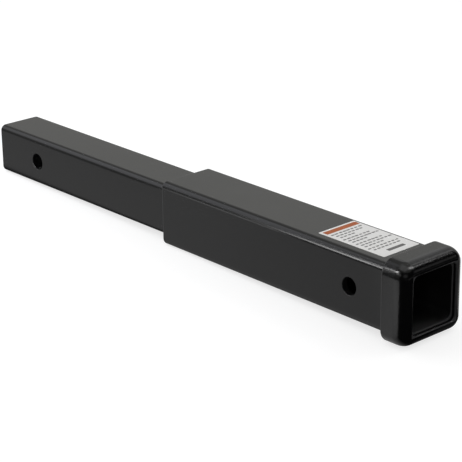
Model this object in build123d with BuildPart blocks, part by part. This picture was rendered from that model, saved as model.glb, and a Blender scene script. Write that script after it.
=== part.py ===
from build123d import *
import os

# Hitch receiver extender: a square shank tube welded into a larger receiver tube with a collar at its mouth.
# All sizes are in millimetres. The origin is the centre of the shank's pin hole.
# +X runs along the tubes to the open mouth, +Y is the left side and +Z is up.

# Shank tube, the part that goes into a vehicle's receiver
shank_width = 50.8
shank_wall = 6.35
shank_corner = 6.0
shank_inner_corner = 2.5
shank_end_to_pin = 63.5
shank_exposed = 273.0
shank_overlap = 127.0

# Receiver tube, which takes an insert of the shank's own section
insert_clearance = 0.45
receiver_wall = 5.9
receiver_corner = 6.5

# Pin holes, through both side walls of each tube
pin_spacing = 457.2
pin_diameter = 15.875
pin_clearance = 0.4
pin_hole_edge = 0.4

# Collar round the receiver's mouth, with a lip over the tube's end
pin_to_mouth = 69.85
collar_length = 27.0
collar_wall = 6.2
collar_clearance = 0.15
collar_corner = 13.5
collar_nose_depth = 13.5
collar_nose_inset = 9.8
collar_front_flat = 0.1
collar_rear_round = 0.8
lip_length = 4.0
lip_relief = 1.25
lip_corner = 5.5
lip_round = 1.2

# Saw-cut tube ends, eased on the outside and on the inside
tube_end_round = 0.8
tube_bore_edge = 0.5

# Fillet welds, each a margin short of the rounded edge beside it
weld_margin = 1.05
weld_crown = 0.4

# Printed label on top of the receiver tube
label_length = 78.6
label_corner = 1.0
label_thickness = 0.15
label_to_collar = 14.0
label_left_margin = 0.3
label_right_margin = 5.7

# Widths and places that follow from the sizes above
shank_inside = shank_width - 2 * shank_wall
receiver_inside = shank_width + 2 * insert_clearance
receiver_inner_corner = shank_corner + insert_clearance
receiver_width = receiver_inside + 2 * receiver_wall
pin_hole_radius = pin_diameter / 2 + pin_clearance
collar_bore = receiver_width + 2 * collar_clearance
collar_width = collar_bore + 2 * collar_wall
lip_opening = receiver_inside + 2 * lip_relief
step_weld_leg = insert_clearance + receiver_wall - tube_end_round - weld_margin
collar_weld_leg = collar_clearance + collar_wall - collar_rear_round - weld_margin
label_width = receiver_width - 2 * receiver_corner - label_left_margin - label_right_margin
label_middle = (label_right_margin - label_left_margin) / 2

shank_end = -shank_end_to_pin
step = shank_end + shank_exposed
mouth = pin_spacing + pin_to_mouth
collar_rear = mouth - collar_length
receiver_end = mouth - lip_length

# The nose takes no more than the front face, the collar's corners and its length leave it
front_face_width = (collar_width - lip_opening) / 2
nose_inset = min(collar_nose_inset, front_face_width - lip_round, collar_corner) - collar_front_flat
nose_depth = min(collar_nose_depth, collar_length - 2 * collar_rear_round)
core_width = collar_width - 2 * nose_inset
core_corner = collar_corner - nose_inset


# Shank tube: one length of square tube, from its free end to where it stops inside the receiver
with BuildPart() as shank_tube:
    with BuildSketch(Plane.YZ.offset(shank_end)):
        RectangleRounded(shank_width, shank_width, shank_corner)
        RectangleRounded(shank_inside, shank_inside, shank_inner_corner, mode=Mode.SUBTRACT)
    extrude(amount=shank_exposed + shank_overlap)
    free_end = shank_tube.faces().sort_by(Axis.X)[0]
    fillet(free_end.outer_wire().edges(), tube_end_round)
    free_end = shank_tube.faces().sort_by(Axis.X)[0]
    chamfer(free_end.inner_wires()[0].edges(), tube_bore_edge)
    with Locations(Plane.XZ):
        Hole(pin_hole_radius)
    hole_rims = shank_tube.edges().filter_by(GeomType.CIRCLE).group_by(Axis.Y)
    chamfer(hole_rims[0] + hole_rims[-1], pin_hole_edge)
shank_tube.part.label = "shank_tube"

# Receiver tube: one length of larger square tube, from the step to the collar's lip
with BuildPart() as receiver_tube:
    with BuildSketch(Plane.YZ.offset(step)):
        RectangleRounded(receiver_width, receiver_width, receiver_corner)
        RectangleRounded(receiver_inside, receiver_inside, receiver_inner_corner, mode=Mode.SUBTRACT)
    extrude(amount=receiver_end - step)
    step_face = receiver_tube.faces().sort_by(Axis.X)[0]
    fillet(step_face.outer_wire().edges(), tube_end_round)
    end_face = receiver_tube.faces().sort_by(Axis.X)[-1]
    chamfer(end_face.inner_wires()[0].edges(), tube_bore_edge)
    with Locations(Plane.XZ.move(Location((pin_spacing, 0, 0)))):
        Hole(pin_hole_radius)
    hole_rims = receiver_tube.edges().filter_by(GeomType.CIRCLE).group_by(Axis.Y)
    chamfer(hole_rims[0] + hole_rims[-1], pin_hole_edge)
receiver_tube.part.label = "receiver_tube"

# Section of the collar's nose: straight along the side, then a quarter of an ellipse down to the front face
with BuildSketch(Plane.YZ.offset(collar_rear)) as collar_outline:
    RectangleRounded(collar_width, collar_width, collar_corner)
rim = collar_outline.sketch.face().outer_wire()
rim_plane = Plane(origin=rim.position_at(0), x_dir=(1, 0, 0), z_dir=rim.tangent_at(0))
side_length = collar_length - nose_depth
with BuildSketch(rim_plane) as nose_section:
    with BuildLine():
        Line((0, -nose_inset), (0, 0))
        Line((0, 0), (side_length, 0))
        EllipticalCenterArc((side_length, -nose_inset), nose_depth, nose_inset, arc_size=90)
        Line((collar_length, -nose_inset), (0, -nose_inset))
    make_face()

# Mouth collar: a thick ring with a rounded nose, bored for the tube up to a lip at the mouth
with BuildPart() as mouth_collar:
    sweep(nose_section.sketch, path=rim)
    with BuildSketch(Plane.YZ.offset(collar_rear)):
        RectangleRounded(core_width, core_width, core_corner)
    extrude(amount=collar_length)
    rear_face = mouth_collar.faces().sort_by(Axis.X)[0]
    fillet(rear_face.outer_wire().edges(), collar_rear_round)
    with BuildSketch(Plane.YZ.offset(collar_rear)):
        RectangleRounded(collar_bore, collar_bore, receiver_corner + collar_clearance)
    extrude(amount=collar_length - lip_length, mode=Mode.SUBTRACT)
    with BuildSketch(Plane.YZ.offset(receiver_end)):
        RectangleRounded(lip_opening, lip_opening, lip_corner)
    extrude(amount=lip_length, mode=Mode.SUBTRACT)
    front_face = mouth_collar.faces().sort_by(Axis.X)[-1]
    fillet(front_face.inner_wires()[0].edges(), lip_round)
mouth_collar.part.label = "mouth_collar"

# Section of a fillet weld: one leg on the tube, the other up the face it meets, and a slightly full front
def weld_section(plane, leg):
    bulge = leg / 2 + weld_crown / 2**0.5
    with BuildSketch(plane) as section:
        with BuildLine():
            Line((0, 0), (leg, 0))
            ThreePointArc((leg, 0), (bulge, bulge), (0, leg))
            Line((0, leg), (0, 0))
        make_face()
    return section.sketch


# Step welds: a bead with rounded ends along each flat of the shank, against the receiver tube's end
bead_half = shank_width / 2 - shank_corner - step_weld_leg
sides = {"top": (0, 0, 1), "bottom": (0, 0, -1), "left": (0, 1, 0), "right": (0, -1, 0)}
step_welds = []
for side, outward in sides.items():
    out = Vector(*outward)
    along = Vector(-1, 0, 0).cross(out)
    middle = Vector(step, 0, 0) + out * (shank_width / 2)
    with BuildPart() as bead:
        middle_plane = Plane(origin=middle, x_dir=(-1, 0, 0), z_dir=along)
        extrude(weld_section(middle_plane, step_weld_leg), amount=bead_half, both=True)
        for way in (-1, 1):
            tip = middle + along * (way * bead_half)
            tip_plane = Plane(origin=tip, x_dir=(-1, 0, 0), z_dir=along)
            revolve(weld_section(tip_plane, step_weld_leg), axis=Axis(tip, out * -way), revolution_arc=90)
    bead.part.label = "step_weld_" + side
    step_welds.append(bead.part)

# Collar weld: one bead right round the tube, against the collar's back face
with BuildSketch(Plane.YZ.offset(collar_rear)) as tube_outline:
    RectangleRounded(receiver_width, receiver_width, receiver_corner)
seam = tube_outline.sketch.face().outer_wire()
seam_plane = Plane(origin=seam.position_at(0), x_dir=(-1, 0, 0), z_dir=-seam.tangent_at(0))
with BuildPart() as collar_weld:
    sweep(weld_section(seam_plane, collar_weld_leg), path=seam)
collar_weld.part.label = "collar_weld"

# Label: a thin sheet with small round corners on the tube's top
label_centre = collar_rear - label_to_collar - label_length / 2
label_plane = Plane(origin=(label_centre, label_middle, receiver_width / 2))
with BuildPart() as label:
    with BuildSketch(label_plane):
        RectangleRounded(label_length, label_width, label_corner)
    extrude(amount=label_thickness)
label.part.label = "label"

tubes_and_collar = [shank_tube.part, receiver_tube.part, mouth_collar.part]
pieces = [*tubes_and_collar, *step_welds, collar_weld.part, label.part]
os.makedirs("parts", exist_ok=True)
for piece in pieces:
    export_step(piece, "parts/" + piece.label + ".step")
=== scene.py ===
import math
from functools import partial

import bmesh
import bpy
from bpy.props import FloatProperty, FloatVectorProperty, IntProperty, PointerProperty
from mathutils import Matrix, Vector


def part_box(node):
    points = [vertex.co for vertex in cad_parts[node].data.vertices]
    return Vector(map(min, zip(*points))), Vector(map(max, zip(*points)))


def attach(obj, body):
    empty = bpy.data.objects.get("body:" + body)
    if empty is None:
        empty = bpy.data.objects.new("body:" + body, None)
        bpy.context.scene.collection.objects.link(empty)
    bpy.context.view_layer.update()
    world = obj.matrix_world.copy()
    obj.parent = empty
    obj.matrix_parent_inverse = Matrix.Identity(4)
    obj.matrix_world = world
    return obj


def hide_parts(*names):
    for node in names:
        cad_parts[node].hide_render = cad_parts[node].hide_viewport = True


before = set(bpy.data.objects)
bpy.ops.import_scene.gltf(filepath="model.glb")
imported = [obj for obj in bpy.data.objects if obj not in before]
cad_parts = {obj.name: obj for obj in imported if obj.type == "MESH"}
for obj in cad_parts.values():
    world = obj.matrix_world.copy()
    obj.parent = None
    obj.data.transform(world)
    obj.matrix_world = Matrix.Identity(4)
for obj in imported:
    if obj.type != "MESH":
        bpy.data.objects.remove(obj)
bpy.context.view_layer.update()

bl_info = {
    "name": "Hitch Receiver Extender",
    "version": (1, 0, 0),
    "blender": (4, 5, 0),
    "location": "View3D > Sidebar > Extender",
    "description": "Finishes the welded hitch receiver extender: powder coat, weld beads, label and stage",
    "category": "Object",
}

# Places on the welded frame, in metres
TUBE_LOW, TUBE_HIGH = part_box("receiver_tube")
SHANK_LOW, SHANK_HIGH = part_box("shank_tube")
COLLAR_LOW, COLLAR_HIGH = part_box("mouth_collar")
LABEL_LOW, LABEL_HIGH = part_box("label")
STEP_X = TUBE_LOW.x
COLLAR_REAR_X = COLLAR_LOW.x
STEP_WELD_LEG = STEP_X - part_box("step_weld_top")[0].x
COLLAR_WELD_LEG = COLLAR_REAR_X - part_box("collar_weld")[0].x
# Outer corner radii of the tubes
TUBE_CORNER = 0.0065
SHANK_CORNER = 0.006
# Half widths of the square openings
SHANK_BORE = 0.01905
TUBE_BORE = 0.02585
LIP_OPENING = 0.0271
# Pin holes: their X places, and their radius with the eased rim
SHANK_PIN_X = 0.0
TUBE_PIN_X = 0.4572
PIN_RIM_RADIUS = 0.00874
# The body that every piece rides on
RIDES_ON = "root"


# User settings

Length = partial(FloatProperty, unit="LENGTH")
Colour = partial(FloatVectorProperty, subtype="COLOR", size=3, min=0, max=1)


class CoatSettings(bpy.types.PropertyGroup):
    """The black powder coat on all the steel"""

    colour: Colour(
        name="Coat Colour", description="Colour of the powder coat", default=(0.0022, 0.0022, 0.0024),
    )
    roughness: FloatProperty(
        name="Roughness", description="Roughness of the coat's gloss on the tubes",
        min=0.05, max=1, default=0.18,
    )
    peel_size: Length(
        name="Orange Peel Size", description="Distance between the coat's slow waves on the tubes",
        min=0.0005, max=0.02, default=0.003,
    )
    peel_depth: Length(
        name="Orange Peel Depth", description="Height of the coat's slow waves on the tubes",
        min=0, max=0.0005, default=0.000022,
    )
    collar_peel_size: Length(
        name="Collar Peel Size", description="Distance between the coat's waves on the collar",
        min=0.0005, max=0.02, default=0.0019,
    )
    collar_peel_depth: Length(
        name="Collar Peel Depth", description="Height of the coat's waves on the collar",
        min=0, max=0.0005, default=0.00009,
    )
    # The edge colour is a painted highlight: lighter colour on sharp edges and round the lip
    edge: Colour(
        name="Edge Colour", description="Colour of the thin coat on sharp edges",
        default=(0.032, 0.032, 0.033),
    )
    inside_roughness: FloatProperty(
        name="Inside Roughness", description="Roughness of the dusty coat inside the tubes",
        min=0.05, max=1, default=0.8,
    )
    grain_size: Length(
        name="Powder Grain Size", description="Size of the finest grain in the coat",
        min=0.0001, max=0.005, default=0.0005,
    )
    grain_depth: Length(
        name="Powder Grain Depth", description="Height of the finest grain",
        min=0, max=0.0002, default=0.000004,
    )


class WeldSettings(bpy.types.PropertyGroup):
    """The fillet beads at the step and behind the collar"""

    ripple_pitch: Length(
        name="Ripple Pitch", description="Distance from one ripple of a bead to the next",
        min=0.0005, max=0.01, default=0.0017,
    )
    ripple_depth: FloatProperty(
        name="Ripple Depth", description="Depth of a ripple, as a share of the bead's leg",
        min=0, max=0.3, default=0.06,
    )
    ripple_bow: FloatProperty(
        name="Ripple Bow", description="How far a ripple's middle runs ahead of its toes, in ripples",
        min=0, max=3, default=0.9,
    )
    crown: Length(
        name="Crown", description="Height of the bead's face over a flat one",
        min=0, max=0.003, default=0.0004,
    )


class LabelSettings(bpy.types.PropertyGroup):
    """The plain printed film on top of the receiver tube"""

    film: Colour(name="Film Colour", description="Colour of the bare film", default=(0.83, 0.825, 0.81))
    band: Colour(
        name="Band Colour", description="Colour of the band across the end", default=(0.40, 0.092, 0.016),
    )
    bars: Colour(name="Bar Colour", description="Colour of the rows of bars", default=(0.15, 0.148, 0.145))
    block: Colour(
        name="Block Colour", description="Colour of the short block at the end",
        default=(0.13, 0.128, 0.125),
    )
    band_start: Length(
        name="Band Start", description="From the film's end to the band", min=0, max=0.02, default=0.0024,
    )
    band_width: Length(
        name="Band Width", description="Width of the band along the tube",
        min=0.001, max=0.03, default=0.0064,
    )
    near_margin: Length(
        name="Near Margin", description="Bare film beside the band at its near end",
        min=0, max=0.01, default=0.0027,
    )
    far_margin: Length(
        name="Far Margin", description="Bare film beside the band at its far end",
        min=0, max=0.01, default=0.0012,
    )
    rows: IntProperty(name="Rows", description="Number of rows of bars", min=1, max=40, default=11)
    group: IntProperty(name="Rows Together", description="Rows in one group", min=1, max=40, default=3)
    row_start: Length(
        name="Row Start", description="From the band to the middle of the first row",
        min=0.001, max=0.02, default=0.0040,
    )
    row_gap: Length(
        name="Row Gap", description="Distance from one row to the next",
        min=0.001, max=0.02, default=0.0045,
    )
    group_gap: Length(
        name="Group Gap", description="Extra distance between two groups of rows",
        min=0, max=0.02, default=0.0013,
    )
    bar_width: Length(
        name="Bar Width", description="Width of one bar", min=0.0001, max=0.004, default=0.0018,
    )
    bar_length: Length(
        name="Bar Length", description="Room that one bar takes up in its row",
        min=0.001, max=0.03, default=0.0048,
    )
    ink_thickness: Length(
        name="Ink Thickness", description="Height of the ink over the film",
        min=0.00001, max=0.0002, default=0.00004,
    )


class StageSettings(bpy.types.PropertyGroup):
    """Camera, lamps, floor and background"""

    camera_place: FloatVectorProperty(
        name="Camera Place", description="Where the camera stands", subtype="TRANSLATION",
        unit="LENGTH", size=3, default=(1.41223, -1.02401, 0.57648),
    )
    camera_turn: FloatVectorProperty(
        name="Camera Turn", description="Azimuth, elevation and roll of the camera",
        subtype="EULER", size=3, default=(math.radians(48.079), math.radians(20.903), math.radians(-0.661)),
    )
    focal_length: FloatProperty(
        name="Focal Length", description="Focal length on a 36 mm sensor, in millimetres",
        min=10, max=500, default=135.67,
    )
    floor_lift: FloatProperty(
        name="Floor Light", description="Share of the white floor that no shadow darkens",
        min=0, max=1, default=0.72,
    )
    fill: FloatProperty(
        name="Fill Light", description="Strength of the even light from all sides",
        min=0, max=2, default=0.6,
    )
    table: FloatProperty(
        name="Table", description="Brightness of the floor round the part, as gloss sees it",
        min=0, max=2, default=0.96,
    )
    floor_beyond: FloatProperty(
        name="Floor Beyond", description="Brightness of the rest of the floor, as gloss sees it",
        min=0, max=1, default=0.3,
    )
    backdrop: FloatProperty(
        name="Backdrop", description="Brightness of the backdrop, as gloss sees it",
        min=0, max=2, default=0.93,
    )
    ceiling: FloatProperty(
        name="Ceiling", description="Brightness of the studio above the backdrop, as gloss sees it",
        min=0, max=1, default=0.58,
    )


# Helpers for meshes and node trees

DOUBLES_DISTANCE = 1e-7


def object_from(data, name):
    """A new object at the origin that holds the mesh, the lamp or the camera."""
    made = bpy.data.objects.new(name, data)
    bpy.context.scene.collection.objects.link(made)
    return made


def flat_sheet(name, half_size, matrix):
    """A new object with one square face, which the matrix moves or stretches."""
    work = bmesh.new()
    bmesh.ops.create_grid(work, x_segments=1, y_segments=1, size=half_size)
    bmesh.ops.transform(work, matrix=matrix, verts=work.verts)
    mesh = bpy.data.meshes.new(name)
    work.to_mesh(mesh)
    work.free()
    return object_from(mesh, name)


def clean_closed_mesh(mesh):
    """Merges doubles and turns every face outwards."""
    work = bmesh.new()
    work.from_mesh(mesh)
    bmesh.ops.remove_doubles(work, verts=work.verts, dist=DOUBLES_DISTANCE)
    bmesh.ops.recalc_face_normals(work, faces=work.faces)
    work.to_mesh(mesh)
    work.free()


def finish_piece(piece, material_slot, *replaced):
    """Lets a finished piece ride on the part, in place of the nodes named."""
    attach(piece, RIDES_ON)
    if replaced:
        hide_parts(*replaced)


def rounded_outline(width, height, corner, steps):
    """Points round a rectangle with round corners and its middle at zero, each with its way outwards."""
    outline = []
    for quarter, (side_x, side_y) in enumerate(((1, 1), (-1, 1), (-1, -1), (1, -1))):
        pivot = Vector((side_x * (width / 2 - corner), side_y * (height / 2 - corner)))
        for step in range(steps + 1):
            angle = (quarter + step / steps) * math.pi / 2
            out = Vector((math.cos(angle), math.sin(angle)))
            outline.append((pivot + corner * out, out))
    return outline


class Tree:
    """A short way to write a node tree: each call adds a node, sets its values and joins its inputs."""

    def __init__(self, tree):
        self.tree = tree

    def add(self, kind, inputs=None, **values):
        """A new node. An input goes by its number or name, or by its identifier if that has an underscore."""
        node = self.tree.nodes.new(kind)
        for key, value in values.items():
            setattr(node, key, value)
        for key, value in (inputs or {}).items():
            named = isinstance(key, str) and "_" in key
            socket = named_socket(node.inputs, key) if named else node.inputs[key]
            if isinstance(value, bpy.types.NodeSocket):
                self.join(value, socket)
            else:
                socket.default_value = value
        return node

    def output(self, kind, inputs=None, **values):
        """The first output of a new node."""
        return self.add(kind, inputs, **values).outputs[0]

    def join(self, value, socket):
        self.tree.links.new(value, socket)

    def math(self, operation, first, second=0.0, third=0.0):
        return self.output("ShaderNodeMath", {0: first, 1: second, 2: third}, operation=operation)

    def plus(self, first, second):
        return self.math("ADD", first, second)

    def minus(self, first, second):
        return self.math("SUBTRACT", first, second)

    def times(self, first, second):
        return self.math("MULTIPLY", first, second)

    def vector(self, operation, first, second=(0, 0, 0)):
        return self.output("ShaderNodeVectorMath", {0: first, 1: second}, operation=operation)

    def scaled(self, vector, factor):
        return self.output("ShaderNodeVectorMath", {0: vector, "Scale": factor}, operation="SCALE")

    def length(self, vector):
        return self.add("ShaderNodeVectorMath", {0: vector}, operation="LENGTH").outputs["Value"]

    def object_place(self):
        return self.add("ShaderNodeTexCoord").outputs["Object"]

    def axes(self, place):
        return self.add("ShaderNodeSeparateXYZ", {0: place}).outputs

    def combined(self, **parts):
        return self.output("ShaderNodeCombineXYZ", parts)

    def noise(self, place, scale, detail):
        return self.output("ShaderNodeTexNoise", {"Vector": place, "Scale": scale, "Detail": detail})

    def eased(self, value, low, high, to_low=0.0, to_high=1.0):
        """The value mapped smoothly from one range to another."""
        ends = {"From Min": low, "From Max": high, "To Min": to_low, "To Max": to_high}
        return self.output("ShaderNodeMapRange", {"Value": value, **ends}, interpolation_type="SMOOTHSTEP")

    def between(self, factor, first, second):
        """The first value at factor 0, the second at 1."""
        return self.output("ShaderNodeMix", {"Factor_Float": factor, "A_Float": first, "B_Float": second})

    def shader_between(self, factor, first, second):
        return self.output("ShaderNodeMixShader", {0: factor, 1: first, 2: second})

    def colour_between(self, factor, first, second):
        """The first colour at factor 0, the second at 1."""
        inputs = {"Factor_Float": factor, "A_Color": first, "B_Color": second}
        node = self.add("ShaderNodeMix", inputs, data_type="RGBA")
        return named_socket(node.outputs, "Result_Color")


def named_socket(sockets, identifier):
    """A socket by its identifier, where several have the same name."""
    return next(socket for socket in sockets if socket.identifier == identifier)


def geometry_tree(name, inputs):
    """A Geometry Nodes tree with one geometry in, one out, and the inputs named under each kind of socket."""
    tree = bpy.data.node_groups.new(name, "GeometryNodeTree")
    for in_out in ("INPUT", "OUTPUT"):
        tree.interface.new_socket("Geometry", in_out=in_out, socket_type="NodeSocketGeometry")
    for kind, names in inputs.items():
        for input_name in names:
            tree.interface.new_socket(input_name, in_out="INPUT", socket_type="NodeSocket" + kind)
    return tree


def end_tree(nodes, geometry, material):
    """The end of a Geometry Nodes tree: real geometry in the given material."""
    real = nodes.output("GeometryNodeRealizeInstances", {"Geometry": geometry})
    done = nodes.output("GeometryNodeSetMaterial", {"Geometry": real, "Material": material})
    nodes.add("NodeGroupOutput", {"Geometry": done})


def realised(source, tree, settings, name):
    """The plain mesh that the tree makes from the source object, which is then removed."""
    modifier = source.modifiers.new("Make", "NODES")
    modifier.node_group = tree
    for item in tree.interface.items_tree:
        if item.item_type == "SOCKET" and item.in_out == "INPUT" and item.name in settings:
            modifier[item.identifier] = settings[item.name]
    bpy.context.view_layer.update()
    depsgraph = bpy.context.evaluated_depsgraph_get()
    mesh = bpy.data.meshes.new_from_object(source.evaluated_get(depsgraph), depsgraph=depsgraph)
    mesh.name = name
    source.modifiers.remove(modifier)
    bpy.data.objects.remove(source)
    return mesh


# Materials

# Indices of refraction: of the coat on the tubes and beads, of the coat on the collar, and of the print
COAT_IOR = 1.35
COLLAR_COAT_IOR = 1.30
PRINT_IOR = 1.25
# The coat's slow patches and clouds, and how far its roughness and its colour wander to each side
PATCH_SCALE = 14.0
CLOUD_SCALE = 70.0
NOISE_LOW, NOISE_HIGH = 0.3, 0.7
ROUGHNESS_SPREAD = 0.02
COLOUR_SPREAD = 0.13
GRAIN_ROUGHNESS = 0.04
# Width of the painted highlight on the edges at the step, at the tube's mouth end and at the collar's back
STEP_HIGHLIGHT_WIDTH = 0.0014
TUBE_END_HIGHLIGHT_WIDTH = 0.0009
COLLAR_HIGHLIGHT_WIDTH = 0.0012
# Where the painted highlight round the lip starts and is full: behind the collar's front, and outside the
# opening
LIP_HIGHLIGHT_BEHIND = (0.0020, 0.0014)
LIP_HIGHLIGHT_OUTSIDE = (0.0011, 0.0006)
# Over what distance the coat turns dusty at the bore and at a pin hole, and how dusty it is in the hole
BORE_BLEND = 0.001
PIN_BLEND = 0.0001
PIN_HOLE_DUST = 0.42
# The print's mottle and its fine tooth
MOTTLE_SCALE = 260.0
TOOTH_SCALE = 1600.0
TOOTH_ROUGHNESS = 0.1
TOOTH_STRENGTH = 0.6
TOOTH_HEIGHT = 0.000006


def empty_material(name):
    """A material with an empty node tree, and the tree's writer."""
    material = bpy.data.materials.new(name)
    material.use_nodes = True
    material.node_tree.nodes.clear()
    return material, Tree(material.node_tree)


def new_material(name):
    """A material for a piece, its writer and its shader."""
    material, nodes = empty_material(name)
    shader = nodes.add("ShaderNodeBsdfPrincipled")
    nodes.add("ShaderNodeOutputMaterial", {"Surface": shader.outputs[0]})
    return material, nodes, shader


def uneven_colour(nodes, factor, colour, spread):
    """A colour that wanders by the given share to each side, as the factor does."""
    darker, lighter = ([min(1, share * c) for c in colour] + [1] for share in (1 - spread, 1 + spread))
    return nodes.colour_between(factor, darker, lighter)


def painted_edge_highlight(nodes, axes, off_axis, edges, lip):
    """One where a highlight is painted as lighter colour: on each edge, given by its X place and its width,
    and round the lip.
    """
    painted_highlight = 0.0
    for x, width in edges:
        away = nodes.math("ABSOLUTE", nodes.minus(axes["X"], x))
        painted_highlight = nodes.math("MAXIMUM", painted_highlight, nodes.eased(away, width, width / 2))
    if lip:
        front = nodes.eased(axes["X"], *(COLLAR_HIGH.x - behind for behind in LIP_HIGHLIGHT_BEHIND))
        opening = nodes.eased(off_axis, *(lip + outside for outside in LIP_HIGHLIGHT_OUTSIDE))
        painted_highlight = nodes.math("MAXIMUM", painted_highlight, nodes.times(opening, front))
    return painted_highlight


def dusty_coat(nodes, axes, off_axis, bore, pin_x):
    """One inside the bore, where the coat is dusty, and less in the pin hole."""
    inside = nodes.eased(off_axis, bore + BORE_BLEND, bore)
    from_pin = nodes.length(nodes.combined(X=nodes.minus(axes["X"], pin_x), Z=axes["Z"]))
    in_hole = nodes.eased(from_pin, PIN_RIM_RADIUS + PIN_BLEND, PIN_RIM_RADIUS, 0.0, PIN_HOLE_DUST)
    return nodes.math("MAXIMUM", inside, in_hole)


def coat_material(
    name, coat, peel_size, peel_depth, roughness, ior=COAT_IOR, bore=0.0, pin_x=0.0, edges=(), lip=0.0,
):
    """Satin black powder coat: slow orange peel, fine grain, and a gloss that varies a little. It is dusty
    inside the bore and the pin hole, and on the edges given and round the lip its colour is lighter: a
    painted highlight."""
    material, nodes, shader = new_material(name)
    place = nodes.object_place()
    axes = nodes.axes(place)
    off_axis = nodes.math("MAXIMUM", *(nodes.math("ABSOLUTE", axes[axis]) for axis in "YZ"))
    peel = nodes.noise(place, 1 / peel_size, 1.0)
    grain = nodes.noise(place, 1 / coat.grain_size, 2.0)

    full_coat = uneven_colour(nodes, nodes.noise(place, CLOUD_SCALE, 4.0), coat.colour, COLOUR_SPREAD)
    # The lighter colour on the edges and round the lip is a painted highlight
    painted_highlight = painted_edge_highlight(nodes, axes, off_axis, edges, lip)
    nodes.join(nodes.colour_between(painted_highlight, full_coat, (*coat.edge, 1)), shader.inputs["Base Color"])

    dull = nodes.output("ShaderNodeMapRange", {
        "Value": nodes.noise(place, PATCH_SCALE, 3.0), "From Min": NOISE_LOW, "From Max": NOISE_HIGH,
        "To Min": roughness - ROUGHNESS_SPREAD, "To Max": roughness + ROUGHNESS_SPREAD,
    })
    dull = nodes.math("MULTIPLY_ADD", grain, GRAIN_ROUGHNESS, dull)
    dull = nodes.minus(dull, GRAIN_ROUGHNESS / 2)
    if bore:
        dull = nodes.between(dusty_coat(nodes, axes, off_axis, bore, pin_x), dull, coat.inside_roughness)
    nodes.join(dull, shader.inputs["Roughness"])
    shader.inputs["IOR"].default_value = ior

    slow = {"Strength": 1.0, "Distance": peel_depth, "Height": peel}
    fine = {"Strength": 1.0, "Distance": coat.grain_depth, "Height": grain}
    fine["Normal"] = nodes.output("ShaderNodeBump", slow)
    nodes.join(nodes.output("ShaderNodeBump", fine), shader.inputs["Normal"])
    return material


def print_material(name, colour, roughness, unevenness):
    """Ink or film: a flat colour that is a little mottled, with a faint tooth."""
    material, nodes, shader = new_material(name)
    place = nodes.object_place()
    mottle = nodes.noise(place, MOTTLE_SCALE, 3.0)
    tooth = nodes.noise(place, TOOTH_SCALE, 2.0)
    nodes.join(uneven_colour(nodes, mottle, colour, unevenness), shader.inputs["Base Color"])
    dull = nodes.math("MULTIPLY_ADD", tooth, TOOTH_ROUGHNESS, roughness - TOOTH_ROUGHNESS / 2)
    nodes.join(dull, shader.inputs["Roughness"])
    shader.inputs["IOR"].default_value = PRINT_IOR
    bump = {"Strength": TOOTH_STRENGTH, "Distance": TOOTH_HEIGHT, "Height": tooth}
    nodes.join(nodes.output("ShaderNodeBump", bump), shader.inputs["Normal"])
    return material


# Weld beads

WELD_SECTION_POINTS = 18
PATH_POINTS_IN_RIPPLE = 8
SEAM_CORNER_STEPS = 10
WELD_EXTRA_ROUGHNESS = 0.05
# How narrow the grooves between the ripples are, and the slow unevenness over them
GROOVE_POWER = 2.4
WANDER_SCALE = 210.0
WANDER_SHARE = 0.30
WANDER_SEED_STEP = 7.3
MOST_SWELL = 0.04
# The square of the share that a bead tapers to at its ends, and the least length of such an end
LEAST_TAPER_SQUARED = 0.01
SHORTEST_END = 1e-6


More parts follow.
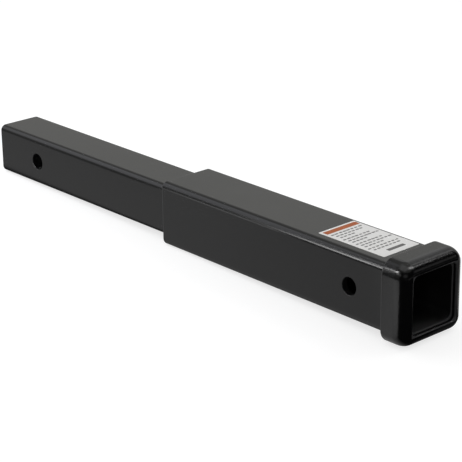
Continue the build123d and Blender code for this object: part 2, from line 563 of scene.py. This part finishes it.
def weld_tree():
    """A bead of rippled weld along a path. The path's points hold the direction away from the tube."""
    tree = geometry_tree("rippled_weld_bead", {
        "Float": ("Leg", "Crown", "Ripple Depth", "Ripple Bow", "End Length", "Spacing"),
        "Int": ("Ripples", "Seed"), "Material": ("Coat",),
    })
    nodes = Tree(tree)
    given = nodes.add("NodeGroupInput").outputs
    leg = given["Leg"]

    def stored(geometry, name, value, kind="FLOAT"):
        inputs = {"Geometry": geometry, "Name": name, "Value": value}
        return nodes.output("GeometryNodeStoreNamedAttribute", inputs, data_type=kind, domain="POINT")

    def kept(name, kind="FLOAT"):
        return nodes.output("GeometryNodeInputNamedAttribute", {"Name": name}, data_type=kind)

    # The path: its points keep their share of the ripples, their size and their place on the root line
    path = nodes.output("GeometryNodeMeshToCurve", {"Mesh": given["Geometry"]})
    resampled = {"Curve": path, "Length": given["Spacing"]}
    path = nodes.output("GeometryNodeResampleCurve", resampled, mode="LENGTH")
    out = nodes.vector("NORMALIZE", kept("out", "FLOAT_VECTOR"))
    path = nodes.output("GeometryNodeSetCurveNormal", {"Curve": path, "Normal": out}, mode="FREE")
    along = nodes.add("GeometryNodeSplineParameter").outputs
    total = nodes.add("GeometryNodeSplineLength").outputs["Length"]
    near_end = nodes.math("MINIMUM", along["Length"], nodes.minus(total, along["Length"]))
    into = nodes.math("DIVIDE", near_end, nodes.math("MAXIMUM", given["End Length"], SHORTEST_END))
    into = nodes.math("MINIMUM", into, 1.0)
    rest = nodes.minus(1.0, into)
    round_end = nodes.minus(1.0, nodes.times(rest, rest))
    taper = nodes.math("SQRT", nodes.math("MAXIMUM", round_end, LEAST_TAPER_SQUARED))
    open_end = nodes.math("GREATER_THAN", given["End Length"], 0.0)
    taper = nodes.between(open_end, 1.0, taper)
    path = stored(path, "turns", nodes.times(along["Factor"], given["Ripples"]))
    path = stored(path, "taper", taper)
    path = stored(path, "root", nodes.output("GeometryNodeInputPosition"), "FLOAT_VECTOR")

    # The section: its first point is the root, and the rest run over the face from toe to toe
    circle = {"Resolution": WELD_SECTION_POINTS, "Radius": 1.0}
    section = nodes.output("GeometryNodeCurvePrimitiveCircle", circle)
    index = nodes.output("GeometryNodeInputIndex")
    across = nodes.math("DIVIDE", nodes.minus(index, 1.0), WELD_SECTION_POINTS - 2.0)
    is_face = nodes.math("GREATER_THAN", index, 0.5)
    back = nodes.minus(1.0, across)
    rise = nodes.times(nodes.times(across, back), 4 / math.sqrt(2))
    rise = nodes.times(rise, given["Crown"])
    x = nodes.times(nodes.math("MULTIPLY_ADD", back, leg, rise), is_face)
    y = nodes.times(nodes.math("MULTIPLY_ADD", across, leg, rise), is_face)
    section = stored(section, "across", across)
    on_section = {"Geometry": section, "Position": nodes.combined(X=x, Y=y)}
    section = nodes.output("GeometryNodeSetPosition", on_section)
    swept = {"Curve": path, "Profile Curve": section, "Fill Caps": True}
    bead = nodes.output("GeometryNodeCurveToMesh", swept)

    # Ripples: crescents whose middles run ahead, with a little slow unevenness
    side = nodes.math("MULTIPLY_ADD", kept("across"), 2.0, -1.0)
    lag = nodes.times(nodes.times(side, side), given["Ripple Bow"])
    phase = nodes.math("FRACT", nodes.plus(kept("turns"), lag))
    away = nodes.math("ABSOLUTE", nodes.math("MULTIPLY_ADD", phase, 2.0, -1.0))
    crest = nodes.minus(1.0, nodes.math("POWER", away, GROOVE_POWER))
    offset = nodes.combined(X=nodes.times(given["Seed"], WANDER_SEED_STEP))
    position = nodes.output("GeometryNodeInputPosition")
    wander = nodes.noise(nodes.vector("ADD", position, offset), WANDER_SCALE, 2.0)
    uneven = nodes.times(nodes.minus(wander, 0.5), WANDER_SHARE)
    swell = nodes.math("MULTIPLY_ADD", nodes.minus(crest, 1.0), given["Ripple Depth"], uneven)
    swell = nodes.math("MINIMUM", swell, MOST_SWELL)
    size = nodes.times(nodes.plus(1.0, swell), kept("taper"))
    root = kept("root", "FLOAT_VECTOR")
    spoke = nodes.vector("SUBTRACT", position, root)
    moved = nodes.vector("ADD", root, nodes.scaled(spoke, size))
    bead = nodes.output("GeometryNodeSetPosition", {"Geometry": bead, "Position": moved})
    bead = nodes.output("GeometryNodeSetShadeSmooth", {"Geometry": bead})
    end_tree(nodes, bead, given["Coat"])
    return tree


def weld_path(name, points, outwards, closed):
    """A line of edges whose points hold the direction away from the tube."""
    count = len(points)
    edges = [(i, i + 1) for i in range(count - 1)]
    if closed:
        edges.append((count - 1, 0))
    mesh = bpy.data.meshes.new(name)
    mesh.from_pydata(points, edges, [])
    attribute = mesh.attributes.new("out", "FLOAT_VECTOR", "POINT")
    attribute.data.foreach_set("vector", [value for out in outwards for value in out])
    return object_from(mesh, name)


def weld_bead(tree, name, points, outwards, closed, leg, seed, coat):
    """One rippled bead along the points, as a finished mesh."""
    welds = bpy.context.scene.extender_welds
    loop = points + points[:1] if closed else points
    length = sum((Vector(b) - Vector(a)).length for a, b in zip(loop, loop[1:]))
    source = weld_path(name + "_path", points, outwards, closed)
    mesh = realised(source, tree, {
        "Leg": leg, "Crown": welds.crown, "Ripples": round(length / welds.ripple_pitch),
        "Ripple Depth": welds.ripple_depth, "Ripple Bow": welds.ripple_bow,
        "Spacing": welds.ripple_pitch / PATH_POINTS_IN_RIPPLE, "End Length": 0.0 if closed else leg,
        "Seed": seed, "Coat": coat,
    }, name)
    clean_closed_mesh(mesh)
    return object_from(mesh, name)


# Print on the label

# Roughness and unevenness of the film, of the band's ink and of the other inks
FILM_FINISH = (0.42, 0.02)
BAND_FINISH = (0.38, 0.05)
INK_FINISH = (0.4, 0.08)
BAND_CORNER = 0.0004
INK_CORNER_STEPS = 4
# The block: from the film's end, where it starts across the tube, its size and its corners
BLOCK_FROM_END = 0.0108
BLOCK_START_Y = -0.006
BLOCK_SIZE = (0.0042, 0.021, 0)
BLOCK_CORNER = 0.0006
BARS_SEED = 6
# What makes the bars uneven, in shares of a bar's room, and of a full row for the rows and their cuts
ROW_INDENT = 0.4
BAR_JITTER = 0.06
BAR_SHARES = (0.62, 0.9)
ROW_SHARES = (0.9, 1.1)
LAST_ROW_CUTS = (0.1, 0.4)
# Corner radius of a bar, as a share of its width
BAR_CORNER_SHARE = 0.3


def ink_patch(name, low, high, corner, thickness, material):
    """A flat patch of ink on the film, with small round corners, from its low corner to its high one."""
    work = bmesh.new()
    size, middle = high - low, (low + high) / 2
    outline = [
        work.verts.new((middle.x + point.x, middle.y + point.y, LABEL_HIGH.z))
        for point, out in rounded_outline(size.x, size.y, corner, INK_CORNER_STEPS)
    ]
    face = work.faces.new(outline)
    raised = bmesh.ops.extrude_face_region(work, geom=[face], use_keep_orig=True)["geom"]
    raised = [item for item in raised if isinstance(item, bmesh.types.BMVert)]
    bmesh.ops.translate(work, vec=(0, 0, thickness), verts=raised)
    bmesh.ops.recalc_face_normals(work, faces=work.faces)
    mesh = bpy.data.meshes.new(name)
    work.to_mesh(mesh)
    work.free()
    mesh.materials.append(material)
    return object_from(mesh, name)


def bar_tree():
    """Rows of short bars of uneven length, in groups of rows that end unevenly."""
    tree = geometry_tree("rows_of_bars", {
        "Vector": ("Start",), "Int": ("Rows", "Bars", "Rows Together", "Seed"), "Material": ("Ink",),
        "Float": ("Row Gap", "Group Gap", "Bar Length", "Bar Width", "Thickness"),
    })
    nodes = Tree(tree)
    given = nodes.add("NodeGroupInput").outputs

    def chance(span, number, offset):
        """A random value in the span for the bar or row of that number. Each use has its own offset."""
        seed = nodes.plus(given["Seed"], offset)
        inputs = {"Min_001": span[0], "Max_001": span[1], "ID": number, "Seed": seed}
        return nodes.add("FunctionNodeRandomValue", inputs, data_type="FLOAT").outputs["Value"]

    # One point for each bar, with its row and its number in the row
    count = nodes.times(given["Rows"], given["Bars"])
    points = nodes.output("GeometryNodePoints", {"Count": count})
    index = nodes.output("GeometryNodeInputIndex")
    row = nodes.math("FLOOR", nodes.math("DIVIDE", nodes.plus(index, 0.5), given["Bars"]))
    place = nodes.minus(index, nodes.times(row, given["Bars"]))
    group = nodes.math("FLOOR", nodes.math("DIVIDE", nodes.plus(row, 0.5), given["Rows Together"]))
    in_group = nodes.minus(row, nodes.times(group, given["Rows Together"]))

    # The first row of a group starts at the margin, and the others are set in a little
    indent = nodes.times(nodes.math("GREATER_THAN", in_group, 0.5), ROW_INDENT)
    jitter = chance((-BAR_JITTER, BAR_JITTER), index, 3)
    across = nodes.plus(nodes.plus(place, indent), nodes.plus(jitter, 0.5))
    x = nodes.math("MULTIPLY_ADD", row, given["Row Gap"], nodes.times(group, given["Group Gap"]))
    y = nodes.times(across, given["Bar Length"])
    spot = nodes.vector("ADD", nodes.combined(X=x, Y=y), given["Start"])
    points = nodes.output("GeometryNodeSetPosition", {"Geometry": points, "Position": spot})

    # The last row of a group stops early
    last = nodes.math("GREATER_THAN", in_group, nodes.minus(given["Rows Together"], 1.5))
    cut = nodes.times(last, chance(LAST_ROW_CUTS, row, 2))
    reach = nodes.minus(chance(ROW_SHARES, row, 1), cut)
    bar_end = nodes.plus(place, 1.0)
    beyond = nodes.math("GREATER_THAN", bar_end, nodes.times(reach, given["Bars"]))
    points = nodes.output("GeometryNodeDeleteGeometry", {"Geometry": points, "Selection": beyond})

    # One bar: a rectangle with small round corners, as thick as the ink
    sides = {"Width": given["Bar Width"], "Height": given["Bar Length"]}
    outline = nodes.output("GeometryNodeCurvePrimitiveQuadrilateral", sides)
    corners = {"Curve": outline, "Radius": nodes.times(given["Bar Width"], BAR_CORNER_SHARE), "Count": 3}
    outline = nodes.output("GeometryNodeFilletCurve", corners, mode="POLY")
    rise = nodes.output("GeometryNodeCurvePrimitiveLine", {"End": nodes.combined(Z=given["Thickness"])})
    swept = {"Curve": rise, "Profile Curve": outline, "Fill Caps": True}
    bar = nodes.output("GeometryNodeCurveToMesh", swept)
    length = nodes.combined(X=1.0, Y=chance(BAR_SHARES, index, 4), Z=1.0)
    bars = nodes.output("GeometryNodeInstanceOnPoints", {"Points": points, "Instance": bar, "Scale": length})
    end_tree(nodes, bars, given["Ink"])
    return tree


# Operators, one for each group of pieces and one for the stage

def give_material(node, material):
    """Puts the material on every slot of a carried-over node."""
    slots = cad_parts[node].material_slots
    if not slots:
        raise RuntimeError(f"{node} has no material slot to fill")
    for slot in slots:
        slot.material = material


class CoatSteel(bpy.types.Operator):
    """Gives the tubes and the collar their black powder coat"""

    bl_idname = "extender.coat_steel"
    bl_label = "Coat Tubes and Collar"

    def execute(self, context):
        coat = context.scene.extender_coat
        peel = coat.peel_size, coat.peel_depth, coat.roughness
        shank = coat_material("shank_powder_coat", coat, *peel, bore=SHANK_BORE, pin_x=SHANK_PIN_X)
        give_material("shank_tube", shank)
        # Lighter colour at the step and at the tube's mouth end: a painted highlight
        edges = ((STEP_X, STEP_HIGHLIGHT_WIDTH), (TUBE_HIGH.x, TUBE_END_HIGHLIGHT_WIDTH))
        tube = coat_material("tube_powder_coat", coat, *peel, bore=TUBE_BORE, pin_x=TUBE_PIN_X, edges=edges)
        give_material("receiver_tube", tube)
        peel = coat.collar_peel_size, coat.collar_peel_depth, coat.roughness
        # Lighter colour at the collar's back and round the lip: a painted highlight
        finish = {"ior": COLLAR_COAT_IOR, "edges": ((COLLAR_REAR_X, COLLAR_HIGHLIGHT_WIDTH),), "lip": LIP_OPENING}
        give_material("mouth_collar", coat_material("collar_powder_coat", coat, *peel, **finish))
        return {"FINISHED"}


class MakeWelds(bpy.types.Operator):
    """Makes the four step beads and the bead round the tube behind the collar"""

    bl_idname = "extender.make_welds"
    bl_label = "Make Weld Beads"

    def execute(self, context):
        tree = weld_tree()
        coat = context.scene.extender_coat
        roughness = coat.roughness + WELD_EXTRA_ROUGHNESS
        material = coat_material("weld_powder_coat", coat, coat.peel_size, coat.peel_depth, roughness)
        half_width = SHANK_HIGH.z
        reach = half_width - SHANK_CORNER
        sides = {"top": (0, 0, 1), "bottom": (0, 0, -1), "left": (0, 1, 0), "right": (0, -1, 0)}
        for seed, (side, outward) in enumerate(sides.items(), start=1):
            out = Vector(outward)
            way = Vector((1, 0, 0)).cross(out)
            middle = Vector((STEP_X, 0, 0)) + half_width * out
            points = [middle - reach * way, middle + reach * way]
            name = "step_weld_" + side
            bead = weld_bead(tree, name + "_bead", points, [out, out], False, STEP_WELD_LEG, seed, material)
            finish_piece(bead, "black_coat", name)
        width = TUBE_HIGH.z - TUBE_LOW.z
        seam = rounded_outline(width, width, TUBE_CORNER, SEAM_CORNER_STEPS)
        points = [Vector((COLLAR_REAR_X, *point)) for point, out in seam]
        outwards = [Vector((0, *out)) for point, out in seam]
        seed = len(sides) + 1
        bead = weld_bead(tree, "collar_weld_bead", points, outwards, True, COLLAR_WELD_LEG, seed, material)
        finish_piece(bead, "black_coat", "collar_weld")
        return {"FINISHED"}


class PrintLabel(bpy.types.Operator):
    """Finishes the film and prints its band, its rows of bars and its block"""

    bl_idname = "extender.print_label"
    bl_label = "Print Label"

    def execute(self, context):
        label = context.scene.extender_label
        give_material("label", print_material("label_film", label.film, *FILM_FINISH))

        band_low = LABEL_LOW + Vector((label.band_start, label.near_margin, 0))
        band_high = Vector((band_low.x + label.band_width, LABEL_HIGH.y - label.far_margin, 0))
        ink = print_material("band_ink", label.band, *BAND_FINISH)
        band = ink_patch("label_band", band_low, band_high, BAND_CORNER, label.ink_thickness, ink)
        finish_piece(band, "label_film")

        start = Vector((band_high.x + label.row_start, band_low.y, LABEL_HIGH.z))
        room = LABEL_HIGH.y - 2 * label.far_margin - band_low.y
        source = object_from(bpy.data.meshes.new("bar_source"), "bar_source")
        mesh = realised(source, bar_tree(), {
            "Start": start, "Rows": label.rows, "Bars": int(room / label.bar_length),
            "Rows Together": label.group, "Row Gap": label.row_gap, "Group Gap": label.group_gap,
            "Bar Length": label.bar_length, "Bar Width": label.bar_width, "Thickness": label.ink_thickness,
            "Seed": BARS_SEED, "Ink": print_material("bar_ink", label.bars, *INK_FINISH),
        }, "label_bars")
        clean_closed_mesh(mesh)
        finish_piece(object_from(mesh, "label_bars"), "label_film")

        block_low = Vector((LABEL_HIGH.x - BLOCK_FROM_END, BLOCK_START_Y, 0))
        block_high = block_low + Vector(BLOCK_SIZE)
        ink = print_material("block_ink", label.block, *INK_FINISH)
        block = ink_patch("label_block", block_low, block_high, BLOCK_CORNER, label.ink_thickness, ink)
        finish_piece(block, "label_film")
        return {"FINISHED"}


class SetStage(bpy.types.Operator):
    """Sets the floor, the lamps, the background and the camera"""

    bl_idname = "extender.set_stage"
    bl_label = "Set Stage"

    def execute(self, context):
        stage = context.scene.extender_stage
        make_floor(stage)
        make_world(stage)
        make_softboxes()
        for card in CARDS:
            make_card(*card)
        make_camera(context.scene, stage)
        context.scene.view_settings.view_transform = "Standard"
        return {"FINISHED"}


# Stage

WHITE = (1, 1, 1, 1)

# The white table that gloss sees on the floor. A pair says where a change starts and where it is full.
TABLE_START = (-0.55, -0.30)
TABLE_NEAR_SIDE = (-0.25, -0.18)
TABLE_FAR_SIDE = (0.75, 0.45)
# It grows brighter from the shank to the receiver tube
TABLE_CHANGE = (-0.20, 0.25)
TABLE_SHARES = (0.76, 0.90)
# It ends under the mouth: a little sooner on the near side, and on a slant on the far side
TABLE_END_ACROSS = (-0.06, 0.0)
TABLE_END = (0.515, 0.529)
TABLE_END_SLANT = 0.47
TABLE_END_SLANT_STOP = 0.3
TABLE_END_SOFTNESS = 0.006
# It is brighter past a slanting line on the collar's near side, and brighter still farther on
BRIGHT_SLANT = -0.93
BRIGHT_ACROSS = (-0.04, -0.06)
BRIGHT_START = (0.527, 0.535)
BRIGHT_GAIN = 0.65
BRIGHTER_START = (0.548, 0.60)
BRIGHTER_GAIN = 0.8
# It is dark under the part: a painted shadow
UNDER_NEAR_SIDE = (-0.042, -0.024)
UNDER_FAR_SIDE = (0.10, 0.05)
UNDER_GAIN = -0.9
# The floor is light again far in front of the mouth
FLOOR_AGAIN = (0.9, 1.4)

# The floor itself: where it ends, where it fades into the background, and the greys seen and sent back
FLOOR_HALF_SIZE = 6.0
FLOOR_FADE = (0.55, 1.3)
FLOOR_GREY = (0.42, 0.42, 0.42, 1)
FLOOR_BOUNCE = (0.8, 0.8, 0.8, 1)

# The studio that gloss sees: the foot and the top of its backdrop, in degrees above the floor
BACKDROP_FOOT = (16, 22)
BACKDROP_FOOT_SHARE = 0.58
BACKDROP_TOP = (22.5, 30)
# It is brighter overhead, and dark behind a curtain in front of the mouth, by the parts of a unit direction
OVERHEAD = (0.72, 0.90)
OVERHEAD_GAIN = 2.0
CURTAIN_ALONG = (-0.05, 0.06)
CURTAIN_UP = (0.80, 0.66)
STUDIO_TINT = (1, 1, 0.965, 1)

# The least width of a card's soft edge
THINNEST_EDGE = 1e-4

# The camera's sensor in millimetres, and the range that it sees in metres
SENSOR_WIDTH = 36.0
NEAREST_SEEN = 0.01
FARTHEST_SEEN = 100.0


def seen_directly(nodes, rays):
    """One for the camera's rays, also where they have passed through glass."""
    return nodes.math("MAXIMUM", rays["Is Camera Ray"], rays["Is Transmission Ray"])


def stage_material(name):
    """An empty material for the stage that lights nothing by itself, and its writer."""
    material, nodes = empty_material(name)
    material.cycles.emission_sampling = "NONE"
    return material, nodes


def glow(nodes, strength, colour=(1, 1, 1)):
    """Light of the given strength, plain white unless a colour is given."""
    return nodes.output("ShaderNodeEmission", {"Color": (*colour, 1), "Strength": strength})


def floor_gloss(nodes, spot, stage):
    """The floor as gloss sees it: a white table that ends under the mouth, and a duller floor round it."""
    axes = nodes.axes(spot)
    along, across = axes["X"], axes["Y"]
    far_side = nodes.math("MINIMUM", nodes.math("MAXIMUM", across, 0.0), TABLE_END_SLANT_STOP)
    end = nodes.eased(across, *TABLE_END_ACROSS, *TABLE_END)
    end = nodes.plus(nodes.times(far_side, TABLE_END_SLANT), end)
    before_end = nodes.minus(end, along)
    clear = nodes.eased(before_end, -TABLE_END_SOFTNESS, TABLE_END_SOFTNESS)

    table = nodes.times(nodes.eased(across, *TABLE_NEAR_SIDE), nodes.eased(across, *TABLE_FAR_SIDE))
    table = nodes.times(table, nodes.eased(along, *TABLE_START))
    white = nodes.eased(along, *TABLE_CHANGE, *(share * stage.table for share in TABLE_SHARES))
    slanted = nodes.math("MULTIPLY_ADD", across, BRIGHT_SLANT, along)
    beside = nodes.times(nodes.eased(slanted, *BRIGHT_START), nodes.eased(across, *BRIGHT_ACROSS))
    gain = nodes.plus(nodes.eased(slanted, *BRIGHTER_START, 0.0, BRIGHTER_GAIN), BRIGHT_GAIN)
    white = nodes.times(white, nodes.math("MULTIPLY_ADD", beside, gain, 1.0))
    # The floor under the part, darkened as gloss sees it: a painted shadow
    painted_under_shadow = nodes.times(nodes.eased(across, *UNDER_NEAR_SIDE), nodes.eased(across, *UNDER_FAR_SIDE))
    white = nodes.times(white, nodes.math("MULTIPLY_ADD", painted_under_shadow, UNDER_GAIN, 1.0))
    level = nodes.between(table, stage.floor_beyond, white)
    return nodes.times(level, nodes.math("MAXIMUM", clear, nodes.eased(along, *FLOOR_AGAIN)))


def make_floor(stage):
    """A white floor that the collar and the receiver tube's heel touch, fading into the background."""
    touch = Vector((COLLAR_REAR_X, 0, COLLAR_LOW.z))
    slope = math.atan2(TUBE_LOW.z - touch.z, touch.x - STEP_X)
    plane = Matrix.Translation(touch) @ Matrix.Rotation(slope, 4, "Y") @ Matrix.Translation((-touch.x, 0, 0))
    floor = flat_sheet("floor", FLOOR_HALF_SIZE, plane)
    material, nodes = stage_material("white_floor")
    spot = nodes.object_place()
    from_middle = nodes.length(nodes.vector("SUBTRACT", spot, (COLLAR_REAR_X / 2, 0, 0)))
    fade = nodes.eased(from_middle, *FLOOR_FADE)
    lit = nodes.output("ShaderNodeBsdfDiffuse", {"Color": FLOOR_GREY})
    near = nodes.output("ShaderNodeAddShader", {0: glow(nodes, stage.floor_lift), 1: lit})
    shown = nodes.shader_between(fade, near, glow(nodes, 1.0))
    bounce = nodes.output("ShaderNodeBsdfDiffuse", {"Color": FLOOR_BOUNCE})
    rays = nodes.add("ShaderNodeLightPath").outputs
    above = nodes.shader_between(seen_directly(nodes, rays), bounce, shown)
    mirrored = glow(nodes, floor_gloss(nodes, spot, stage))
    above = nodes.shader_between(rays["Is Glossy Ray"], above, mirrored)
    below = nodes.add("ShaderNodeNewGeometry").outputs["Backfacing"]
    clear = nodes.output("ShaderNodeBsdfTransparent")
    mixed = nodes.shader_between(below, above, clear)
    nodes.add("ShaderNodeOutputMaterial", {"Surface": mixed})
    floor.data.materials.append(material)


def make_world(stage):
    """White where it is seen, a studio in reflections, and an even fill light elsewhere."""
    world = bpy.data.worlds.new("studio")
    world.use_nodes = True
    world.cycles.sampling_method = "NONE"
    world.node_tree.nodes.clear()
    nodes = Tree(world.node_tree)
    way = nodes.add("ShaderNodeTexCoord").outputs["Generated"]
    axes = nodes.axes(way)
    foot, top = ([math.sin(math.radians(angle)) for angle in pair] for pair in (BACKDROP_FOOT, BACKDROP_TOP))
    lower = nodes.eased(axes["Z"], *foot, BACKDROP_FOOT_SHARE * stage.backdrop, stage.backdrop)
    mirrored = nodes.times(lower, nodes.eased(axes["Z"], *top, 1.0, stage.ceiling / stage.backdrop))
    mirrored = nodes.times(mirrored, nodes.eased(axes["Z"], *OVERHEAD, 1.0, OVERHEAD_GAIN))
    curtain = nodes.times(nodes.eased(axes["X"], *CURTAIN_ALONG), nodes.eased(axes["Z"], *CURTAIN_UP))
    mirrored = nodes.times(mirrored, nodes.minus(1.0, curtain))
    rays = nodes.add("ShaderNodeLightPath").outputs
    glossy = rays["Is Glossy Ray"]
    strength = nodes.between(glossy, 1.0, mirrored)
    tint = nodes.colour_between(glossy, WHITE, STUDIO_TINT)
    shown = nodes.output("ShaderNodeBackground", {"Color": tint, "Strength": strength})
    fill = nodes.output("ShaderNodeBackground", {"Color": WHITE, "Strength": stage.fill})
    seen = nodes.math("MAXIMUM", seen_directly(nodes, rays), glossy)
    mixed = nodes.shader_between(seen, fill, shown)
    nodes.add("ShaderNodeOutputWorld", {"Surface": mixed})
    bpy.context.scene.world = world


def turned(place, turn):
    """A placement with the given turn at the place."""
    return Matrix.Translation(place) @ turn


def aimed(place, aim):
    """A placement whose local -Z points from the place to the aim."""
    place = Vector(place)
    return turned(place, (Vector(aim) - place).to_track_quat("-Z", "Y").to_matrix().to_4x4())


# Each softbox: its name, placement, width and height in metres, how much it lights, how bright gloss sees its
# low and high X end, the widths of its soft edges at low X, high X, low Y and high Y, and its colour
SOFTBOXES = (
    ("key_softbox", aimed((-0.6, -0.42, 0.65), (-0.6, 0.135, -0.182)), 1.3, 1.2, 1.2, (2.0, 2.0),
     (0.3, 0.3, 0.3, 0.3), (0.95, 0.96, 1.0)),
    ("rear_softbox", aimed((0.86, 0.70, 1.0), (0.5, 0, 0.03)), 0.42, 0.36, 3.0, (10.0, 10.0),
     (0.08, 0.08, 0.08, 0.08), (1.0, 1.0, 1.0)),
)

FLAT = Matrix.Identity(4)
UPRIGHT = Matrix.Rotation(math.pi / 2, 4, "X")
ACROSS = Matrix.Rotation(math.pi / 2, 4, "Y")
# How far the shade over the shank's open end stands off from it
SHADE_GAP = 0.001
# Each card that only gloss sees: the same as for a softbox, without how much it lights and the colour
CARDS = (
    # The bright line along the receiver tube's upper near edge
    ("near_strip", turned((-0.0825, -0.6, 0.165), UPRIGHT), 0.235, 0.20, (2.5, 19.0), (0.04, 0.01, 0, 0)),
    # The streak on the collar's near corner, the dark gap in it, and its end on the nose
    ("corner_strip", turned((0.145, -0.6, 0.435), UPRIGHT), 0.43, 0.10, (22.0, 44.0), (0.02, 0.05, 0, 0)),
    ("corner_shade", turned((0.474, -0.08, 0.0405), UPRIGHT), 0.032, 0.019, (0.8, 0.8),
     (0.006, 0.004, 0, 0.006)),
    ("nose_glow", turned((0.41, -0.6, 0.28), UPRIGHT), 0.38, 0.20, (4.0, 1.8), (0.05, 0.1, 0.06, 0.06)),
    # The highlight where that corner turns to the front
    ("nose_strip", turned((0.82, 0.25, 1.0), FLAT), 0.27, 0.50, (14.0, 14.0), (0.07, 0.07, 0.09, 0.07)),
    # The fainter line below the bright one, at the part's middle
    ("low_strip", turned((0.10, -0.22, -0.016), UPRIGHT), 0.24, 0.044, (2.8, 2.8), (0.04, 0.04, 0, 0)),
    # The dark inside the shank's open end
    ("hollow_shade", turned((SHANK_LOW.x - SHADE_GAP, 0, 0), ACROSS), 2 * SHANK_BORE, 2 * SHANK_BORE, (0, 0),
     (0, 0, 0, 0)),
    # The gloss on the nose over the mouth, from behind, from above, from the front and from the far side
    ("rear_panel", turned((-0.06, 1.20, 1.0), FLAT), 1.40, 1.0, (1.5, 1.0), (0.15, 0.08, 0.2, 0.2)),
    ("rear_strip", turned((0.48, 1.10, 0.99), FLAT), 0.26, 1.0, (2.4, 2.4), (0.06, 0.04, 0.2, 0.2)),
    ("overhead_panel", turned((0.45, -0.25, 1.0), FLAT), 1.0, 0.9, (2.4, 2.4), (0.2, 0.2, 0.2, 0.2)),
    ("front_glow", aimed((1.12, -0.71, 0.38), (0.52, -0.03, 0.03)), 0.8, 0.6, (0.8, 0.8),
     (0.3, 0.3, 0.25, 0.25)),
    ("side_glow", aimed((1.16, 0.70, 0.36), (0.526, 0, 0.035)), 0.7, 0.4, (0.6, 0.6), (0.2, 0.2, 0.15, 0.15)),
)


def make_softboxes():
    """Area lamps that light the part, each with a soft-edged card that its gloss sees in the lamp's place."""
    for name, placement, width, height, light, shine, edges, colour in SOFTBOXES:
        data = bpy.data.lights.new(name, "AREA")
        data.shape = "RECTANGLE"
        data.size = width
        data.size_y = height
        data.energy = light * math.pi * width * height
        data.color = colour
        lamp = object_from(data, name)
        lamp.matrix_world = placement
        lamp.visible_camera = False
        lamp.visible_glossy = False
        make_card(name + "_face", placement, width, height, shine, edges, colour)


def make_card(name, placement, width, height, shine, edges, colour=(1, 1, 1)):
    """A card that only gloss sees. Its brightness runs from end to end, and it fades at its edges."""
    card = flat_sheet(name, 0.5, Matrix.Diagonal((width, height, 1, 1)))
    card.matrix_world = placement
    material, nodes = stage_material(name)
    axes = nodes.axes(nodes.object_place())
    strength = nodes.eased(axes["X"], -width / 2, width / 2, *shine)
    cover = 1.0
    borders = (("X", -width / 2), ("X", width / 2), ("Y", -height / 2), ("Y", height / 2))
    for (axis, border), edge in zip(borders, edges):
        inner = border - math.copysign(edge + THINNEST_EDGE, border)
        cover = nodes.times(cover, nodes.eased(axes[axis], border, inner))
    clear = nodes.output("ShaderNodeBsdfTransparent")
    face = nodes.shader_between(cover, clear, glow(nodes, strength, colour))
    nodes.add("ShaderNodeOutputMaterial", {"Surface": face})
    card.data.materials.append(material)
    for ray in ("camera", "diffuse", "shadow", "transmission"):
        setattr(card, "visible_" + ray, False)


def make_camera(scene, stage):
    """The camera at the photograph's angle."""
    azimuth, elevation, roll = stage.camera_turn
    data = bpy.data.cameras.new("camera")
    data.sensor_width = SENSOR_WIDTH
    data.lens = stage.focal_length
    data.clip_start = NEAREST_SEEN
    data.clip_end = FARTHEST_SEEN
    camera = object_from(data, "camera")
    turn = Matrix.Rotation(azimuth, 4, "Z") @ Matrix.Rotation(math.pi / 2 - elevation, 4, "X")
    camera.matrix_world = turned(stage.camera_place, turn @ Matrix.Rotation(roll, 4, "Z"))
    scene.camera = camera


# Panel and registration

class ExtenderPanel(bpy.types.Panel):
    """Lists the extender's operators and settings in the sidebar"""

    bl_idname = "VIEW3D_PT_extender"
    bl_label = "Hitch Receiver Extender"
    bl_space_type = "VIEW_3D"
    bl_region_type = "UI"
    bl_category = "Extender"

    def draw(self, context):
        for operator in OPERATORS:
            self.layout.operator(operator.bl_idname)
        for name in SETTINGS:
            settings = getattr(context.scene, name)
            box = self.layout.box()
            for key in settings.bl_rna.properties.keys():
                if key not in ("rna_type", "name"):
                    box.prop(settings, key)


SETTINGS = {
    "extender_coat": CoatSettings,
    "extender_welds": WeldSettings,
    "extender_label": LabelSettings,
    "extender_stage": StageSettings,
}
OPERATORS = (CoatSteel, MakeWelds, PrintLabel, SetStage)
CLASSES = (*SETTINGS.values(), *OPERATORS, ExtenderPanel)


def register():
    for cls in CLASSES:
        bpy.utils.register_class(cls)
    for name, cls in SETTINGS.items():
        setattr(bpy.types.Scene, name, PointerProperty(type=cls))


def unregister():
    for name in SETTINGS:
        delattr(bpy.types.Scene, name)
    for cls in reversed(CLASSES):
        bpy.utils.unregister_class(cls)


def main():
    """Finishes and stages the part."""
    register()
    bpy.ops.extender.coat_steel()
    bpy.ops.extender.make_welds()
    bpy.ops.extender.print_label()
    bpy.ops.extender.set_stage()


if __name__ == "__main__":
    main()
